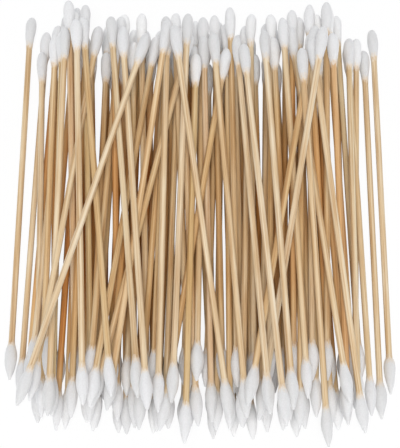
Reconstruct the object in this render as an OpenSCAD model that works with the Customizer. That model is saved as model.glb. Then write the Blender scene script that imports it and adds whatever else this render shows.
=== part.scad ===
// A heap of six-inch cotton swabs as they come to rest when a pack of them is laid down.
// Each swab is a bamboo stick with a round cotton tip on one end and a pointed one on the other.
// +Y runs from the pointed ends to the round ends, +Z is up and the floor is z = 0.

/* [Stick] */
// Length of a whole swab, from the crown of the round tip to the point
swab_len = 152; // [110:1:180]
// Diameter of the bamboo stick
stick_d = 2.4; // [1.8:0.1:2.9]

/* [Round tip] */
// Largest diameter of the round tip
round_d = 4.5; // [4:0.1:6]
// Length of the round tip
round_len = 13; // [11:0.5:20]
// Length of the rounded crown, from the largest diameter to the end
crown_len = 4.8; // [4:0.1:6.5]
// Cotton over the end of the stick in the round tip
crown_cover = 2.6; // [2:0.1:3.5]

/* [Pointed tip] */
// Largest diameter of the pointed tip
point_d = 4.6; // [4:0.1:6]
// Length of the pointed tip
point_len = 14; // [12:0.5:20]
// Length of the taper, from the largest diameter to the point
taper_len = 9; // [8:0.1:10.5]
// Radius at the very end of the point
apex_r = 0.5; // [0.3:0.05:0.7]
// Cotton over the end of the stick in the pointed tip
apex_cover = 4.6; // [3.8:0.1:6]

/* [Wound cotton] */
// Thickness of the cotton where it ends on the stick
neck_wall = 0.18; // [0.1:0.02:0.3]
// Clearance between the stick and the cotton round it
wind_clearance = 0.02; // [0.01:0.01:0.05]

/* [Heap] */
// Half the width of the lowest row, between the middles of its outer swabs
row_half_w = 65; // [45:1:80]
// How much narrower each row is than the one below it, on each side
row_step = 5; // [2:0.5:8]
// How far the middle of the heap lies towards the pointed ends
bow = 8; // [0:1:25]
// How far every second swab of a row is set along its length from its neighbours, so that tips lie by sticks
stagger = 14; // [0:1:18]
// Scatter of the swabs sideways, each way, as a share of the pitch of their row
scatter_x = 0.25; // [0:0.05:0.4]
// Scatter of the swabs along their own length, each way
scatter_y = 3; // [0:1:14]
// Scatter of the swabs' directions in degrees, each way
scatter_a = 3; // [0:0.1:4]
// How much the swabs fan out towards the pointed ends, in degrees for each millimetre from the middle
fan = 0.02; // [0:0.005:0.05]
// Air left between swabs that lie on each other
rest_gap = 0.08; // [0.05:0.01:0.2]

/* [Hidden] */
// Swabs in each row laid by the rule, from the floor up
row_counts = [35, 33, 31];
// Swabs laid singly, as [x of the middle, y of the middle, direction], the direction in degrees from +Y
// towards +X. Those at the edges lie on the floor and are laid first.
edge_swabs = [
    [-71.5, 5.5, 1], [-66, -1, 2], [-62, 1.5, 2.5], [72, 0, -0.5], [68, -9.5, -0.5], [61.5, -5.5, 2]
];
// Those on top cross the rows at all the angles that swabs take when they slide off each other.
top_swabs = [
    [
        [-21.5, -11.5, 13.5], [-2, -18, 9.5], [45, -7.5, -7], [36, -5.5, -2.5], [-54, -11.5, 1],
        [11, -13, -4.5], [-28.5, -10.5, 8.5], [-7.5, -7.5, 2], [-50.5, -8, 8], [-14, -11, 1]
    ],
    [
        [31, -10.5, 10.5], [51.5, -18, -6.5], [43, -22.5, -3], [34.5, -14.5, 10], [-3.5, -22, 1.5],
        [-23, -11, 8], [-28.5, -7, -5], [0.5, -14, -8], [-39, -6.5, -5.5], [-45, -9.5, -2.5]
    ],
    [
        [29, -12, -3], [19.5, -13.5, -4], [-24.5, -12, -4.5], [23.5, -18.5, -5], [-42.5, -13.5, 17]
    ]
];
LAYERS = ["edge", "row_1", "row_2", "row_3", "top_1", "top_2", "top_3"];
seed = 1;
// Facets round a stick and round a tip
round_facets = 48;

half = swab_len / 2;
stick_r = stick_d / 2;
neck_r = stick_r + neck_wall;
bore_r = stick_r + wind_clearance;
// Ends of the tips and of the stick along the swab, measured from its middle
round_neck = half - round_len;
point_neck = -half + point_len;
round_widest = half - crown_len;
point_widest = -half + taper_len;
stick_top = half - crown_cover;
stick_bottom = -half + apex_cover;

// Radius of the round tip at s: it swells from the neck as a quarter sine and closes as half an ellipse
function round_radius(s) = s <= round_widest
    ? neck_r + (round_d / 2 - neck_r) * sin(90 * (s - round_neck) / (round_widest - round_neck))
    : round_d / 2 * sqrt(max(0, 1 - pow((s - round_widest) / crown_len, 2)));

// Radius of the pointed tip at s: the same swell, then a cosine down to the small ball at its end
apex_angle = acos(2 * apex_r / point_d);
function point_radius(s) = s >= point_widest
    ? neck_r + (point_d / 2 - neck_r) * sin(90 * (point_neck - s) / (point_neck - point_widest))
    : s >= -half + apex_r
    ? point_d / 2 * cos(apex_angle * (point_widest - s) / (taper_len - apex_r))
    : sqrt(max(0, pow(apex_r, 2) - pow(-half + apex_r - s, 2)));

// Radius of the whole swab at s, and the largest within a reach each way of s
function swab_radius(s) = s >= round_neck ? round_radius(s) : s <= point_neck ? point_radius(s) : stick_r;
function widest_near(s, reach) = max([for (k = [-reach : reach / 2 : reach])
    let (t = max(-half, min(half, s + k))) swab_radius(t)]);

// Stations along a swab where its outline is compared with its neighbours', closest together on the tips
// and on the stretch of stick beside each tip, which the tips of other swabs reach
tip_stations = 8;
near_stations = 14;
middle_stations = 14;
near_len = 28;
point_step = point_len / tip_stations;
round_step = round_len / tip_stations;
near_step = near_len / near_stations;
middle_step = (round_neck - point_neck - 2 * near_len) / middle_stations;
stations = concat(
    [for (k = [0 : tip_stations]) -half + k * point_step],
    [for (k = [1 : near_stations]) point_neck + k * near_step],
    [for (k = [1 : middle_stations - 1]) point_neck + near_len + k * middle_step],
    [for (k = [near_stations : -1 : 1]) round_neck - k * near_step],
    [for (k = [0 : tip_stations]) round_neck + k * round_step]);
function step_at(s) = s <= point_neck ? point_step : s >= round_neck ? round_step
    : s <= point_neck + near_len || s >= round_neck - near_len ? near_step : middle_step;
on_tip = [for (s = stations) s <= point_neck || s >= round_neck];
radii = [for (k = [0 : len(stations) - 1]) on_tip[k] ? widest_near(stations[k], step_at(stations[k]) / 2)
    : stick_r];
outline = [for (k = [0 : len(stations) - 1]) [stations[k], radii[k]]];
below = [for (k = [0 : len(stations) - 1]) if (stations[k] < 0) k];
above = [for (k = [0 : len(stations) - 1]) if (stations[k] > 0) k];

// Plan of the heap: for each swab [x, y, direction, layer]
row_start = [for (r = 0, sum = 0; r < len(row_counts); sum = sum + row_counts[r], r = r + 1) sum];
ruled = row_start[len(row_counts) - 1] + row_counts[len(row_counts) - 1];
shift_x = rands(-1, 1, ruled, seed);
shift_y = rands(-1, 1, ruled, seed + 1);
turn = rands(-1, 1, ruled, seed + 2);
// A row spreads its swabs evenly with a little scatter, every other row is set over by a quarter of a pitch,
// and the bow runs out towards the edges of the heap as a fourth power
row_shift = 0.25;
bow_power = 4;
function row_place(r, k) =
    let (i = row_start[r] + k,
        share = (k + 0.5 + (r % 2 - 0.5) * row_shift + scatter_x * shift_x[i]) / row_counts[r],
        x = 2 * (row_half_w - row_step * r) * (share - 0.5),
        bowed = -bow * (1 - pow(x / (row_half_w + row_step), bow_power)),
        staggered = stagger * (k % 2 - 0.5))
    [x, bowed + staggered + scatter_y * shift_y[i], -fan * x + scatter_a * turn[i], 1 + r];
places = concat(
    [for (p = edge_swabs) [p[0], p[1], p[2], 0]],
    [for (r = [0 : len(row_counts) - 1], k = [0 : row_counts[r] - 1]) row_place(r, k)],
    [for (g = [0 : len(top_swabs) - 1], p = top_swabs[g]) [p[0], p[1], p[2], 1 + len(row_counts) + g]]);

// A laid swab is [x, y, direction, layer, height of its middle, rise for each millimetre towards +Y].
// How a new swab p runs over a laid one q: its sideways and lengthwise place on q, and its turn
function crossing(p, q) =
    let (dx = p[0] - q[0], dy = p[1] - q[1])
    [q, dx * cos(q[2]) - dy * sin(q[2]), sin(p[2] - q[2]), dx * sin(q[2]) + dy * cos(q[2]), cos(p[2] - q[2])];
reach_max = max(round_d, point_d) + rest_gap;
function meets(c) =
    let (a = c[1] - half * c[2], b = c[1] + half * c[2])
    !(min(a, b) > reach_max || max(a, b) < -reach_max);
// Height that station s of the new swab needs to clear the laid one
function clearing(s, r, step, c) =
    let (q = c[0], across = max(0, abs(c[1] + s * c[2]) - step / 2 * abs(c[2])), along = c[3] + s * c[4],
        reach = r + lookup(along, outline) + rest_gap)
    abs(along) > half + step || across >= reach ? 0
    : q[4] + along * q[5] + sqrt(reach * reach - across * across);
// A swab settles on the two things, swabs or floor, that hold it up on either side of its middle
function settle(p, laid) =
    let (crossings = [for (q = laid) let (c = crossing(p, q)) if (meets(c)) c],
        need = [for (k = [0 : len(stations) - 1]) max([radii[k], for (c = crossings)
            clearing(stations[k], radii[k], step_at(stations[k]), c)])],
        lines = [for (a = below, b = above)
            let (rise = (need[b] - need[a]) / (stations[b] - stations[a]))
                [need[a] - rise * stations[a], rise]],
        height = max([for (l = lines) l[0]]),
        line = [for (l = lines) if (l[0] == height) l][0])
    [p[0], p[1], p[2], p[3], line[0], line[1]];
function lay(i, laid) = i == len(places) ? laid : lay(i + 1, concat(laid, [settle(places[i], laid)]));
laid_swabs = lay(0, []);

// The heap is centred over the origin by the corners of its bounding box
function point_on(q, s) =
    let (run = s / sqrt(1 + q[5] * q[5])) [q[0] + run * sin(q[2]), q[1] + run * cos(q[2])];
sides_x = [for (q = laid_swabs, s = [point_widest, round_widest], side = [-1, 1])
    point_on(q, s)[0] + side * swab_radius(s) * cos(q[2])];
ends_y = [for (q = laid_swabs, s = [-half, half]) point_on(q, s)[1]];
centre = [(min(sides_x) + max(sides_x)) / 2, (min(ends_y) + max(ends_y)) / 2];

// Puts a piece drawn along +Z onto a laid swab's axis
module on_swab(q) {
    translate([q[0] - centre[0], q[1] - centre[1], q[4]])
        rotate([0, 0, -q[2]])
            rotate([atan(q[5]) - 90, 0, 0])
                children();
}

module stick() {
    color("#D8BA8A")
        translate([0, 0, stick_bottom])
            cylinder(r = stick_r, h = stick_top - stick_bottom, $fn = round_facets);
}

// A tip is turned from its half section, with a blind bore for the stick
profile_steps = 5;
module round_tip() {
    swell = [for (k = [0 : profile_steps]) round_neck + k * (round_widest - round_neck) / profile_steps];
    crown = [for (k = [1 : profile_steps - 1]) round_widest + crown_len * sin(90 * k / profile_steps)];
    color("#F2F1EE")
        rotate_extrude($fn = round_facets)
            polygon(concat(
                [for (s = concat(swell, crown)) [round_radius(s), s]],
                [[0, half], [0, stick_top + wind_clearance], [bore_r, stick_top + wind_clearance],
                    [bore_r, round_neck]]));
}

module pointed_tip() {
    swell = [for (k = [0 : profile_steps]) point_neck + k * (point_widest - point_neck) / profile_steps];
    taper = [for (k = [1 : profile_steps])
        point_widest + k * (-half + apex_r - point_widest) / profile_steps];
    color("#F6F6F4")
        rotate_extrude($fn = round_facets)
            polygon(concat(
                [for (s = concat(swell, taper)) [point_radius(s), s]],
                [[apex_r * cos(45), -half + apex_r * (1 - sin(45))], [0, -half],
                    [0, stick_bottom - wind_clearance], [bore_r, stick_bottom - wind_clearance],
                    [bore_r, point_neck]]));
}

module sticks(layer) {
    for (q = laid_swabs) if (q[3] == layer) on_swab(q) stick();
}

module round_tips(layer) {
    for (q = laid_swabs) if (q[3] == layer) on_swab(q) round_tip();
}

module pointed_tips(layer) {
    for (q = laid_swabs) if (q[3] == layer) on_swab(q) pointed_tip();
}

for (l = [0 : len(LAYERS) - 1]) {
    sticks(l);
    round_tips(l);
    pointed_tips(l);
}
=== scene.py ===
import math

import bpy
import numpy as np
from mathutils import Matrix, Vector


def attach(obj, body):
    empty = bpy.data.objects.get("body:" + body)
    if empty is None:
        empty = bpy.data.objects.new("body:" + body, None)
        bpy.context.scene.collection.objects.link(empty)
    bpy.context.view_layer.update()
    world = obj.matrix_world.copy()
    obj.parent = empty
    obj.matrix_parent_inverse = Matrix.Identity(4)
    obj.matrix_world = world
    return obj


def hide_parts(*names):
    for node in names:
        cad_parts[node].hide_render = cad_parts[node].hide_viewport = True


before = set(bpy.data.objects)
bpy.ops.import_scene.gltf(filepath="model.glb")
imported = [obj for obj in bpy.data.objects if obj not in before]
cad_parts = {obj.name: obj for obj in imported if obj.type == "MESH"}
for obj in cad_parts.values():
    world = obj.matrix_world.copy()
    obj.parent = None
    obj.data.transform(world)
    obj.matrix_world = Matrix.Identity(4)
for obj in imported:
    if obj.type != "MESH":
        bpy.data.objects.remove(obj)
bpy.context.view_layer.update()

# The swabs are worked out in mm. Meshes, the lamp and the camera take metres.
MM = 0.001
LAYERS = ["edge", "row_1", "row_2", "row_3", "top_1", "top_2", "top_3"]

# Chance: one stream for unevenness and colour, and one for how each tip is wound
scatter = np.random.default_rng(152)
winding_scatter = np.random.default_rng(13)

# Form of the wound cotton, as on the solids
CROWN_LEN = 4.8
TAPER_LEN = 9
APEX_R = 0.5
NECK_WALL = 0.18

# Unevenness is a sum of sines: their whole turns round the swab, their runs along it, and their number
FLATS = (2, 5), (-1.5, 1.5), 4
LUMPS = (1, 4), (-2.5, 2.5), 5
RIDGES = (1, 2), (8, 13), 2
FRAYS = (2, 6), (0, 0), 4

# The rod: how deep its drawn flats are, and how far it stays inside its solid for them
FLAT_DEPTH = 0.018
STICK_INSET = 0.012
# Half of the bamboo that shows between a swab's tips
HALF_BARE = 62

# A tip: how deep its soft lumps and the ridges of its winding are, how much its width varies, as a share of
# it, how far its end leans off the axis, and the power of the way along it, which moves its widest place
LUMP_DEPTH = 0.07
RIDGE_DEPTH = 0.03
WIDTH_SPREAD = 0.04
LEAN_SPREAD = 0.2
WIDEST_SPREAD = 0.12
WIDEST_LEAST, WIDEST_MOST = 0.78, 1.25
# The unevenness begins at the neck and fades out up to this share of the length
FADE_TO = 0.97
# Smallest radius of a row, where an uneven tip closes
CLOSING_R = 0.02

# The wisp of cotton that thins out on the stick past each neck: its length, thickness and ragged edge, and
# how its end turns into the stick
WISP_LEN = 1.3
WISP_WALL = 0.04
WISP_RAG = 0.3
WISP_TUCK = 0.5
WISP_SINK = 0.06
# The stretch over which the cotton lets the bamboo show through, and how much it varies
FILM_LEN = 4.5
FILM_LEAST, FILM_MOST = 0.75, 1.25

# Cotton that meets the floor lies flat on it, this far above
FLOOR_CLEARANCE = 0.01

# Surface grids. Rows of a tip crowd towards its end, where the form closes.
STICK_ROUND = 20
STICK_ROWS = 30
TIP_ROUND = 32
TIP_ROWS = 30
CROWDING = 0.55

# Colours of the swabs. The bamboo's tone runs from 0, honey, to 1, pale straw, its warmth from 0, greenish,
# to 1, orange, and the cotton's tone from 0, dull, to 1, bright. Both tones also carry painted shade and
# painted light for swabs down in the heap.
TONE_MEAN, TONE_SPREAD = 0.62, 0.12
WARMTH_MEAN, WARMTH_SPREAD = 0.5, 0.22
DULLEST, WHITEST = 0, 0.4
# Far enough for the pattern of no swab to be like another's
PATTERN_SHIFT = 500
# Painted shade and painted light. Down in the heap the light has passed from stick to stick, which leaves it
# warmer than the renderer's few bounces do, and through cotton, which leaves it brighter. So each swab over
# another takes this much off the lower one's tone, up to a number of them, as painted shade, darker and more
# honey, on its bamboo, and adds this much to the tone of its cotton as painted light, most of all at the
# round ends, which lie further from the light.
PAINTED_SHADE_EACH, PAINTED_SHADE_UP_TO = 0.12, 6
PAINTED_LIGHT_ROUND = 0.15
PAINTED_LIGHT_POINT = 0.05
# A swab is over another if it is this much higher and no further aside than this
HIGHER = 1
ASIDE = 4

# The camera looks along +Y and down, from the side of the pointed tips. Its frame is 400 x 448 pixels.
FRAME_W = 400
FOCAL_PIXELS = 1334
SENSOR_W = 36
DISTANCE = 0.53
ELEVATION = math.radians(73)
AWAY = Vector((0, -math.cos(ELEVATION), math.sin(ELEVATION)))
TARGET = Vector((0, 0.0009, 0))
NEAREST = 0.01

# The lamp is right behind the camera, so that it reaches all that the camera sees between the swabs
LAMP_DISTANCE = 1.3
LAMP_SIZE = 0.35
LAMP_WATTS = 10
SKY_STRENGTH = 0.65

FLOOR_HALF = 3.0
# How much of the floor that the camera sees is plain white. The rest keeps the heap's shadow.
FLOOR_WHITE = 0.92

# Sockets of a colour's Mix node, which has several of the same name
MIX_FACTOR, MIX_A, MIX_B, MIXED = 0, 6, 7, 2


# Where the swabs lie

def welded(obj):
    """Vertices of a CAD node in mm, with doubles merged to a thousandth, and its triangles' corners."""
    mesh = obj.data
    mesh.calc_loop_triangles()
    points = np.empty(len(mesh.vertices) * 3)
    mesh.vertices.foreach_get("co", points)
    corners = np.empty(len(mesh.loop_triangles) * 3, dtype=np.int32)
    mesh.loop_triangles.foreach_get("vertices", corners)
    keys = np.round(points.reshape(-1, 3) / MM, 3)
    merged, index = np.unique(keys, axis=0, return_inverse=True)
    return merged, index.ravel()[corners].reshape(-1, 3)


def solids(obj):
    """Vertices of each separate solid of a CAD node: the lowest label spreads over joined triangles."""
    points, triangles = welded(obj)
    labels = np.arange(len(points))
    while True:
        lowest = labels[triangles].min(axis=1)
        spread = labels.copy()
        np.minimum.at(spread, triangles.ravel(), np.repeat(lowest, 3))
        spread = spread[spread]
        if np.array_equal(spread, labels):
            return [points[labels == label] for label in np.unique(labels)]
        labels = spread


def lengthwise(points):
    """Middle and long direction of a stick, the direction towards the round tips."""
    middle = points.mean(axis=0)
    direction = np.linalg.svd(points - middle, full_matrices=False)[2][0]
    return middle, direction * np.sign(direction[1])


def widest_r(points, middle, direction):
    """Largest distance of a solid's vertices from its axis."""
    return np.linalg.norm(np.cross(points - middle, direction), axis=1).max()


def spans(pieces, middles, directions):
    """Ends of each swab's own piece along it: a piece's middle lies on the swab's axis."""
    low_high = np.empty((len(middles), 2))
    for points in pieces:
        away = points.mean(axis=0) - middles
        along = (away * directions).sum(axis=1)
        across = np.linalg.norm(away - along[:, None] * directions, axis=1)
        own = across.argmin()
        places = (points - middles[own]) @ directions[own]
        low_high[own] = places.min(), places.max()
    return low_high


def read_layer(layer):
    """Axes of a layer's swabs, and where each piece begins and ends along them."""
    sticks = solids(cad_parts["sticks_" + layer])
    axes = [lengthwise(points) for points in sticks]
    middles = np.array([middle for middle, direction in axes])
    directions = np.array([direction for middle, direction in axes])
    return {"middle": middles, "direction": directions,
            "stick": spans(sticks, middles, directions),
            "stick_r": widest_r(sticks[0], middles[0], directions[0]),
            "round": spans(solids(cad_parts["round_tips_" + layer]), middles, directions),
            "point": spans(solids(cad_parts["pointed_tips_" + layer]), middles, directions)}


def tip_r(node):
    """Largest radius of the tips in a CAD node."""
    tip = solids(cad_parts[node])[0]
    return widest_r(tip, *lengthwise(tip))


ROUND_R = tip_r("round_tips_edge")
POINT_R = tip_r("pointed_tips_edge")


# Surfaces

def swelling(s, swell, stick_r, full_r):
    """Radius of a tip at s from its neck: a quarter sine from the neck's radius to the widest place."""
    neck = stick_r + NECK_WALL
    return neck + (full_r - neck) * np.sin(np.pi / 2 * np.clip(s / swell, 0, 1))


def round_profile(t, length, stick_r):
    """Radius of a round tip a share t of the way from its neck to its crown: it swells to the widest place,
    and half an ellipse closes over the crown."""
    s = t * length
    swell = length - CROWN_LEN
    closing = ROUND_R * np.sqrt(np.clip(1 - ((s - swell) / CROWN_LEN) ** 2, 0, 1))
    return np.where(s <= swell, swelling(s, swell, stick_r, ROUND_R), closing)


def point_profile(t, length, stick_r):
    """Radius of a pointed tip a share t of the way from its neck to its point: it swells to the widest place,
    and a cosine runs down to a small ball at the very end."""
    s = t * length
    swell = length - TAPER_LEN
    last = np.arccos(APEX_R / POINT_R)
    falling = POINT_R * np.cos(last * np.clip((s - swell) / (TAPER_LEN - APEX_R), 0, 1))
    ball = np.sqrt(np.clip(APEX_R ** 2 - (s - length + APEX_R) ** 2, 0, None))
    tapering = np.where(s <= length - APEX_R, falling, ball)
    return np.where(s <= swell, swelling(s, swell, stick_r, POINT_R), tapering)


def side_axes(directions):
    """Two unit vectors across each direction, square to it and to each other."""
    first = np.cross(directions, np.array([0.0, 0.0, 1.0]))
    first /= np.linalg.norm(first, axis=1, keepdims=True)
    return first, np.cross(first, directions)


def closed_grids(count, rows, around):
    """Faces of a number of grids that are closed round and at both ends, each with a vertex at either pole
    after its rows: quads between the rows and triangles to the poles."""
    size = rows * around + 2
    row, column = np.meshgrid(np.arange(rows - 1), np.arange(around), indexing="ij")
    a = row * around + column
    b = row * around + (column + 1) % around
    quads = np.stack([a, a + around, b + around, b], axis=-1).reshape(-1, 4)
    ring = np.arange(around)
    after = (ring + 1) % around
    last = (rows - 1) * around
    start = np.stack([np.full(around, rows * around), ring, after], axis=1)
    end = np.stack([np.full(around, rows * around + 1), last + after, last + ring], axis=1)
    triangles = np.concatenate([start, end])
    steps = np.arange(count)[:, None, None] * size
    return (quads + steps).reshape(-1, 4), (triangles + steps).reshape(-1, 3)


def with_poles(values):
    """Values of grids of swab, row and column as one row a swab, followed by those of its two poles: the
    means of its first row and of its last."""
    poles = np.stack([values[:, 0].mean(axis=1), values[:, -1].mean(axis=1)], axis=1)
    return np.concatenate([values.reshape(len(values), -1, *values.shape[3:]), poles], axis=1)


def turned(layer, along, radius, bend=0):
    """Points of one turned form on each swab, and their places on it: along and radius are grids of swab, row
    and column, and the radius runs round the swab's axis. A bend moves the axis sideways."""
    angle = np.linspace(0, 2 * np.pi, radius.shape[2], endpoint=False)
    across = np.stack([radius * np.cos(angle), radius * np.sin(angle)], axis=-1) + bend
    own = np.concatenate([across, along[..., None]], axis=-1)
    axes = np.stack([*side_axes(layer["direction"]), layer["direction"]], axis=1)
    points = layer["middle"][:, None, None, :] + np.einsum("nrac,ncd->nrad", own, axes)
    return with_poles(points).reshape(-1, 3), with_poles(own)


def waves(grid, turns_from_to, runs_from_to, number):
    """Sum of a few sines over grids of swab, row and column, scaled to about -1 to 1, each with whole turns
    round the swab and a number of runs along it."""
    count, rows, around = grid
    t = np.linspace(0, 1, rows)[None, :, None]
    angle = np.linspace(0, 2 * np.pi, around, endpoint=False)[None, None, :]
    total = np.zeros(grid)
    for _ in range(number):
        turns = scatter.integers(*turns_from_to, (count, 1, 1), endpoint=True)
        runs = scatter.uniform(*runs_from_to, (count, 1, 1))
        phase = scatter.uniform(0, 2 * np.pi, (count, 1, 1))
        total += np.sin(turns * angle + 2 * np.pi * runs * t + phase)
    return total / number ** 0.5


def stick_surface(layer):
    """A stick is a cylinder with faint long flats where the rod was drawn through its die."""
    grid = len(layer["middle"]), STICK_ROWS, STICK_ROUND
    t = np.linspace(0, 1, STICK_ROWS)[None, :, None]
    low, high = layer["stick"].T[:, :, None, None]
    along = np.broadcast_to(low + (high - low) * t, grid)
    flats = FLAT_DEPTH * waves(grid, *FLATS)
    return turned(layer, along, layer["stick_r"] - STICK_INSET + flats)


def tip_surface(layer, end_name, profile):
    """A tip is its profile turned, with soft lumps, the ridges of the winding, and an end that leans off the
    axis with the square of the distance from the neck, as the cotton was rolled. A wisp of cotton runs out on
    the stick past the neck. The third result is how thick the cotton covers the stick: it grows in proportion
    to the distance from the wisp's edge, up to 1."""
    count = len(layer["middle"])
    grid = count, TIP_ROWS, TIP_ROUND
    ring = count, 1, TIP_ROUND
    low, high = layer[end_name].T[:, :, None, None]
    neck, end = (low, high) if end_name == "round" else (high, low)
    length = np.abs(end - neck)
    outwards = np.sign(end - neck)

    u = np.linspace(0, 1, TIP_ROWS)[None, :, None]
    t = CROWDING * np.sin(np.pi / 2 * u) + (1 - CROWDING) * u
    widest_at = winding_scatter.normal(1, WIDEST_SPREAD, (count, 1, 1))
    radius = profile(t ** np.clip(widest_at, WIDEST_LEAST, WIDEST_MOST), length, layer["stick_r"])
    fade = np.sin(np.pi * np.clip(t, 0, FADE_TO)) ** 0.5
    uneven = LUMP_DEPTH * waves(grid, *LUMPS) + RIDGE_DEPTH * waves(grid, *RIDGES)
    width = scatter.normal(0, WIDTH_SPREAD, (count, 1, 1))
    radius = np.maximum(radius * (1 + width * fade) + uneven * fade, CLOSING_R)
    lean = scatter.normal(0, LEAN_SPREAD, (count, 1, 1, 2)) * t[..., None] ** 2

    edge = neck + outwards * (WISP_RAG * waves(ring, *FRAYS) - WISP_LEN)
    tucked = edge - outwards * WISP_TUCK
    along = np.concatenate([tucked, edge, np.broadcast_to(neck + outwards * length * t, grid)], axis=1)
    sunk_r = np.full(ring, layer["stick_r"] - WISP_SINK)
    edge_r = np.full(ring, layer["stick_r"] + WISP_WALL)
    radius = np.concatenate([sunk_r, edge_r, radius], axis=1)
    bend = np.concatenate([np.zeros((count, 2, 1, 2)), lean], axis=1)
    film_len = FILM_LEN * winding_scatter.uniform(FILM_LEAST, FILM_MOST, (count, 1, 1))
    cover = np.clip(((along - neck) * outwards + WISP_LEN) / film_len, 0, 1)

    if end_name == "point":
        # Its rows run the other way along the swab, so they are turned round for the faces to point outwards
        along, radius, bend, cover = [rows[:, ::-1] for rows in (along, radius, bend, cover)]
    points, own = turned(layer, along, radius, bend)
    points[:, 2] = np.maximum(points[:, 2], FLOOR_CLEARANCE)
    return points, own, with_poles(cover)


def new_piece(name, points, quads, triangles, facts):
    """A smooth mesh object from arrays in mm, with a point attribute for each of the facts."""
    mesh = bpy.data.meshes.new(name)
    mesh.vertices.add(len(points))
    mesh.vertices.foreach_set("co", (points * MM).ravel())
    loops = np.concatenate([quads.ravel(), triangles.ravel()])
    sizes = np.concatenate([np.full(len(quads), 4), np.full(len(triangles), 3)])
    mesh.loops.add(len(loops))
    mesh.loops.foreach_set("vertex_index", loops)
    mesh.polygons.add(len(sizes))
    mesh.polygons.foreach_set("loop_start", np.concatenate([[0], np.cumsum(sizes)[:-1]]))
    mesh.polygons.foreach_set("loop_total", sizes)
    mesh.polygons.foreach_set("use_smooth", np.ones(len(sizes), dtype=bool))
    mesh.update(calc_edges=True)
    for fact, values in facts.items():
        kind, key = ("FLOAT", "value") if values.ndim == 1 else ("FLOAT_VECTOR", "vector")
        mesh.attributes.new(fact, kind, "POINT").data.foreach_set(key, values.ravel())
    mesh.validate()
    piece = bpy.data.objects.new(name, mesh)
    bpy.context.scene.collection.objects.link(piece)
    return piece


# Materials

def linear(code):
    """An sRGB hex colour such as #D8BA8A as linear red, green, blue and alpha, by the sRGB curve."""
    values = np.array([int(code[k:k + 2], 16) for k in (1, 3, 5)]) / 255
    bright = ((values + 0.055) / 1.055) ** 2.4
    return tuple(np.where(values <= 0.04045, values / 12.92, bright)) + (1.0,)


def add(tree, kind, values=None, links=None, stops=(), **settings):
    """Adds a node, sets it and its inputs, and joins its inputs to the sources given. Stops are a colour
    ramp's places and sRGB hex colours."""
    made = tree.nodes.new(kind)
    for name, value in settings.items():
        setattr(made, name, value)
    for socket, value in (values or {}).items():
        made.inputs[socket].default_value = value
    for socket, source in (links or {}).items():
        tree.links.new(source, made.inputs[socket])
    for _ in stops[2:]:
        made.color_ramp.elements.new(0.5)
    for k, (place, code) in enumerate(stops):
        made.color_ramp.elements[k].position = place
        made.color_ramp.elements[k].color = linear(code)
    return made


def new_material(name):
    """An empty material and its node tree."""
    material = bpy.data.materials.new(name)
    material.use_nodes = True
    material.node_tree.nodes.clear()
    return material, material.node_tree


def drawn_out(across, along):
    """Scale of a pattern with forms of about so many mm across and along the swab."""
    return 1 / across, 1 / across, 1 / along


def fibres(tree, place):
    """Fibre bundles along the rod, as a value: bands up to 0.8 mm wide, with finer and finer ones in them.
    Real bundles are about 0.2 mm wide, and would not show."""
    at = add(tree, "ShaderNodeMapping", {"Scale": drawn_out(0.8, 60)}, {"Vector": place})
    bands = add(tree, "ShaderNodeTexNoise", {"Scale": 1.0, "Detail": 4.0, "Roughness": 0.7},
                {"Vector": at.outputs["Vector"]})
    return bands.outputs["Fac"]


def rod_colour(tree, place, bundles):
    """Colour of a swab's rod: its own tone, honey to pale straw, with painted shade, darker and more honey,
    where other swabs lie over it, its own warmth, greenish to orange, the streaks of the fibre bundles, and
    broad faint stains."""
    # The tone attribute carries painted shade as well as the swab's own tone
    tone = add(tree, "ShaderNodeAttribute", attribute_name="tone")
    straw = add(tree, "ShaderNodeValToRGB", links={"Fac": tone.outputs["Fac"]},
                stops=[(0.0, "#CC9553"), (0.3, "#DABF93"), (0.6, "#E3D4B9"), (1.0, "#E9DECA")])
    warmth = add(tree, "ShaderNodeAttribute", attribute_name="warmth")
    cast = add(tree, "ShaderNodeValToRGB", links={"Fac": warmth.outputs["Fac"]},
               stops=[(0.0, "#F7F8E8"), (0.35, "#FFFFFF"), (0.65, "#FFFFFF"), (1.0, "#FFEEE0")])
    own = add(tree, "ShaderNodeMix", {MIX_FACTOR: 1.0},
              {MIX_A: straw.outputs["Color"], MIX_B: cast.outputs["Color"]},
              data_type="RGBA", blend_type="MULTIPLY")
    streak = add(tree, "ShaderNodeValToRGB", links={"Fac": bundles},
                 stops=[(0.36, "#C29E74"), (0.5, "#F0E2CE"), (0.62, "#FFFFFF")])
    streaked = add(tree, "ShaderNodeMix", {MIX_FACTOR: 0.75},
                   {MIX_A: own.outputs[MIXED], MIX_B: streak.outputs["Color"]},
                   data_type="RGBA", blend_type="MULTIPLY")
    at = add(tree, "ShaderNodeMapping", {"Scale": drawn_out(3, 25)}, {"Vector": place})
    patches = add(tree, "ShaderNodeTexNoise", {"Scale": 1.0, "Detail": 2.0}, {"Vector": at.outputs["Vector"]})
    stain = add(tree, "ShaderNodeValToRGB", links={"Fac": patches.outputs["Fac"]},
                stops=[(0.35, "#E6D0AE"), (0.6, "#FFFFFF")])
    stained = add(tree, "ShaderNodeMix", {MIX_FACTOR: 0.5},
                  {MIX_A: streaked.outputs[MIXED], MIX_B: stain.outputs["Color"]},
                  data_type="RGBA", blend_type="MULTIPLY")
    return stained.outputs[MIXED]


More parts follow.
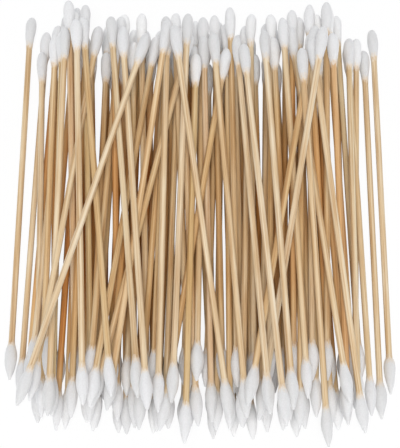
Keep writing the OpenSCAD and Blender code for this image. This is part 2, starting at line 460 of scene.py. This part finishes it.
def bamboo_material():
    """Bamboo rod, drawn through a die and left raw: pale straw to honey, dull, with fine fibre bundles."""
    material, tree = new_material("drawn_bamboo")
    place = add(tree, "ShaderNodeAttribute", attribute_name="own_place").outputs["Vector"]
    bundles = fibres(tree, place)
    rough = add(tree, "ShaderNodeMapRange", {"To Min": 0.48, "To Max": 0.7}, {"Value": bundles})
    bump = add(tree, "ShaderNodeBump", {"Strength": 0.5, "Distance": 0.06 * MM}, {"Height": bundles})
    shader = add(tree, "ShaderNodeBsdfPrincipled", {"IOR": 1.5, "Specular IOR Level": 0.35},
                 {"Base Color": rod_colour(tree, place, bundles), "Roughness": rough.outputs["Result"],
                  "Normal": bump.outputs["Normal"]})
    add(tree, "ShaderNodeOutputMaterial", links={"Surface": shader.outputs["BSDF"]})
    return material


def cotton_film(tree, place):
    """How much of the bamboo the cotton hides, from nothing to all: the cover, with an edge frayed along the
    stick, as its fibres run."""
    cover = add(tree, "ShaderNodeAttribute", attribute_name="cover")
    at = add(tree, "ShaderNodeMapping", {"Scale": drawn_out(0.5, 1.5)}, {"Vector": place})
    fray = add(tree, "ShaderNodeTexNoise", {"Scale": 1.0, "Detail": 2.0}, {"Vector": at.outputs["Vector"]})
    frayed = add(tree, "ShaderNodeMath", links={0: fray.outputs["Fac"], 1: cover.outputs["Fac"]},
                 operation="ADD")
    film = add(tree, "ShaderNodeMapRange", {"From Min": 0.45, "From Max": 1.3},
               {"Value": frayed.outputs[0]}, interpolation_type="SMOOTHSTEP")
    return film.outputs["Result"]


def cotton_material():
    """Bleached cotton wound tight: a soft dull white with a velvet rim. The fibres, 0.02 mm thick, show as a
    fine uneven nap, drawn about 0.35 mm across, or it wouldn't show. Where the cotton is thin on the stick,
    the bamboo shows through it, its streaks first blurred to a plain tan."""
    material, tree = new_material("wound_cotton")
    place = add(tree, "ShaderNodeAttribute", attribute_name="own_place").outputs["Vector"]
    # The cotton's tone carries painted light: tips with other swabs over them are whiter
    whiteness_and_painted_light = add(tree, "ShaderNodeAttribute", attribute_name="cotton_tone_and_painted_light")
    white = add(tree, "ShaderNodeValToRGB", links={"Fac": whiteness_and_painted_light.outputs["Fac"]},
                stops=[(0.0, "#D5D5D5"), (0.4, "#DDDDDE"), (1.0, "#F3F3F3")])
    at = add(tree, "ShaderNodeMapping", {"Scale": drawn_out(0.35, 0.5)}, {"Vector": place})
    nap = add(tree, "ShaderNodeTexNoise", {"Scale": 1.0, "Detail": 4.0, "Roughness": 0.65},
              {"Vector": at.outputs["Vector"]})
    shade = add(tree, "ShaderNodeValToRGB", links={"Fac": nap.outputs["Fac"]},
                stops=[(0.3, "#EDEBE9"), (0.6, "#FFFFFF")])
    napped = add(tree, "ShaderNodeMix", {MIX_FACTOR: 0.6},
                 {MIX_A: white.outputs["Color"], MIX_B: shade.outputs["Color"]},
                 data_type="RGBA", blend_type="MULTIPLY")

    film = cotton_film(tree, place)
    veil = add(tree, "ShaderNodeMapRange", {"From Max": 0.5, "To Max": 1.0}, {"Value": film})
    rod = rod_colour(tree, place, fibres(tree, place))
    veiled = add(tree, "ShaderNodeMix", {MIX_B: linear("#E2CDB2")},
                 {MIX_FACTOR: veil.outputs["Result"], MIX_A: rod}, data_type="RGBA")
    covered = add(tree, "ShaderNodeMix", None,
                  {MIX_FACTOR: film, MIX_A: veiled.outputs[MIXED], MIX_B: napped.outputs[MIXED]},
                  data_type="RGBA")
    soft = add(tree, "ShaderNodeMapRange", {"From Min": 0.6, "To Max": 0.8}, {"Value": film})
    rough = add(tree, "ShaderNodeMapRange", {"To Min": 0.6, "To Max": 0.95}, {"Value": film})
    bump = add(tree, "ShaderNodeBump", {"Strength": 0.4, "Distance": 0.08 * MM},
               {"Height": nap.outputs["Fac"]})
    shader = add(tree, "ShaderNodeBsdfPrincipled",
                 {"Sheen Weight": 0.5, "Sheen Roughness": 0.5, "Specular IOR Level": 0.2,
                  "Subsurface Radius": (1, 1, 1), "Subsurface Scale": 2 * MM},
                 {"Base Color": covered.outputs[MIXED], "Normal": bump.outputs["Normal"],
                  "Subsurface Weight": soft.outputs["Result"], "Roughness": rough.outputs["Result"]})
    add(tree, "ShaderNodeOutputMaterial", links={"Surface": shader.outputs["BSDF"]})
    return material


def white_to_camera(tree, shader, share):
    """Mixes a plain white into a shader for the rays that see the background, mirrored and straight."""
    path = add(tree, "ShaderNodeLightPath")
    plain = add(tree, "ShaderNodeMath", operation="MAXIMUM",
                links={0: path.outputs["Is Camera Ray"], 1: path.outputs["Is Glossy Ray"]})
    seen = add(tree, "ShaderNodeMath", operation="MAXIMUM",
               links={0: plain.outputs[0], 1: path.outputs["Is Transmission Ray"]})
    amount = add(tree, "ShaderNodeMath", {1: share}, {0: seen.outputs[0]}, operation="MULTIPLY")
    white = add(tree, "ShaderNodeEmission", {"Color": (1, 1, 1, 1), "Strength": 1.0})
    mixed = add(tree, "ShaderNodeMixShader", links={0: amount.outputs[0], 1: shader, 2: white.outputs[0]})
    return mixed.outputs[0]


# The swabs

bamboo = bamboo_material()
cotton = cotton_material()
layers = {name: read_layer(name) for name in LAYERS}
all_middles = np.concatenate([layer["middle"] for layer in layers.values()])


def swabs_above(middles):
    """How many swabs of the heap lie over each of these."""
    away = all_middles - middles[:, None]
    return ((np.abs(away[:, :, 0]) < ASIDE) & (away[:, :, 2] > HIGHER)).sum(axis=1)


def swab_facts(own, looks):
    """Attributes of sticks and tips alike: each point's place on its own swab, moved to another part of the
    pattern for every swab, the bamboo's tone there, with painted shade, and its warmth. A swab with others
    over it has painted shade that is darkest halfway along: the darkening is 1 minus the cube of the distance
    from there as a share of half the bare bamboo's length."""
    off_middle = np.clip(np.abs(own[:, :, 2]) / HALF_BARE, 0, 1)
    # Painted shade: the tone is taken down for swabs that lie under others
    tone = looks["tone"][:, None] - looks["painted_shade"][:, None] * (1 - off_middle ** 3)
    return {"own_place": (own + looks["stretch"][:, None, :]).reshape(-1, 3),
            "tone": np.clip(tone, 0, 1).ravel(),
            "warmth": np.repeat(looks["warmth"], own.shape[1])}


def dress(node, material, points, quads, triangles, facts):
    """Makes one group of pieces, which takes the place of the CAD node."""
    piece = new_piece("dressed_" + node, points, quads, triangles, facts)
    piece.data.materials.append(material)
    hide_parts(node)
    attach(piece, "root")


def dress_sticks(layer_name, looks):
    """Makes the sticks of a layer's swabs."""
    points, own = stick_surface(layers[layer_name])
    quads, triangles = closed_grids(len(own), STICK_ROWS, STICK_ROUND)
    dress("sticks_" + layer_name, bamboo, points, quads, triangles, swab_facts(own, looks))


def dress_tips(kind, end_name, profile, layer_name, looks, whiteness_and_painted_light):
    """Makes the tips at one end of a layer's swabs, each with two rows more for its wisp."""
    points, own, cover = tip_surface(layers[layer_name], end_name, profile)
    quads, triangles = closed_grids(len(own), TIP_ROWS + 2, TIP_ROUND)
    facts = swab_facts(own, looks)
    facts["cotton_tone_and_painted_light"] = np.repeat(np.clip(whiteness_and_painted_light, 0, 1), own.shape[1])
    facts["cover"] = cover.ravel()
    dress(kind + layer_name, cotton, points, quads, triangles, facts)


for layer_name, layer in layers.items():
    swabs = len(layer["middle"])
    above = swabs_above(layer["middle"])
    # Painted shade: the bamboo of swabs with others over them is darker
    looks = {"stretch": scatter.uniform(-PATTERN_SHIFT, PATTERN_SHIFT, (swabs, 3)),
             "tone": scatter.normal(TONE_MEAN, TONE_SPREAD, swabs),
             "painted_shade": PAINTED_SHADE_EACH * np.minimum(above, PAINTED_SHADE_UP_TO),
             "warmth": np.clip(scatter.normal(WARMTH_MEAN, WARMTH_SPREAD, swabs), 0, 1)}
    whites = scatter.uniform(DULLEST, WHITEST, swabs)
    dress_sticks(layer_name, looks)
    # Painted light: the cotton of swabs with others over them is whiter
    dress_tips("round_tips_", "round", round_profile, layer_name, looks, whites + PAINTED_LIGHT_ROUND * above)
    dress_tips("pointed_tips_", "point", point_profile, layer_name, looks, whites + PAINTED_LIGHT_POINT * above)


# Floor, light and camera

def floor():
    """White paper, wide enough to fill every view, with a faint shadow of the heap."""
    mesh = bpy.data.meshes.new("floor")
    corners = [(x * FLOOR_HALF, y * FLOOR_HALF, 0) for x, y in [(-1, -1), (1, -1), (1, 1), (-1, 1)]]
    mesh.from_pydata(corners, [], [(0, 1, 2, 3)])
    plane = bpy.data.objects.new("floor", mesh)
    bpy.context.scene.collection.objects.link(plane)
    material, tree = new_material("pale_paper")
    paper = add(tree, "ShaderNodeBsdfDiffuse", {"Color": linear("#F4F4F4")})
    add(tree, "ShaderNodeOutputMaterial",
        links={"Surface": white_to_camera(tree, paper.outputs[0], FLOOR_WHITE)})
    mesh.materials.append(material)


def sky():
    """Even cool white light from all round, and plain white to the camera."""
    world = bpy.data.worlds.new("studio")
    world.use_nodes = True
    tree = world.node_tree
    tree.nodes.clear()
    soft = add(tree, "ShaderNodeBackground", {"Color": linear("#F2F5FA"), "Strength": SKY_STRENGTH})
    add(tree, "ShaderNodeOutputWorld", links={"Surface": white_to_camera(tree, soft.outputs[0], 1.0)})
    bpy.context.scene.world = world


def key_light():
    """A square soft light that faces the heap."""
    data = bpy.data.lights.new("key_softbox", "AREA")
    data.shape = "SQUARE"
    data.size = LAMP_SIZE
    data.energy = LAMP_WATTS
    data.color = linear("#FFFDF9")[:3]
    lamp = bpy.data.objects.new("key_softbox", data)
    lamp.location = LAMP_DISTANCE * AWAY
    lamp.rotation_euler = (-AWAY).to_track_quat("-Z", "Y").to_euler()
    bpy.context.scene.collection.objects.link(lamp)


def camera():
    """The photo's view, a little further back, so that every tip is in the frame."""
    data = bpy.data.cameras.new("camera")
    data.sensor_fit = "HORIZONTAL"
    data.sensor_width = SENSOR_W
    data.lens = FOCAL_PIXELS / FRAME_W * SENSOR_W
    data.clip_start = NEAREST
    eye = bpy.data.objects.new("camera", data)
    eye.location = TARGET + DISTANCE * AWAY
    eye.rotation_euler = (-AWAY).to_track_quat("-Z", "Y").to_euler()
    bpy.context.scene.collection.objects.link(eye)
    bpy.context.scene.camera = eye


floor()
sky()
key_light()
camera()
bpy.context.scene.view_settings.view_transform = "Standard"
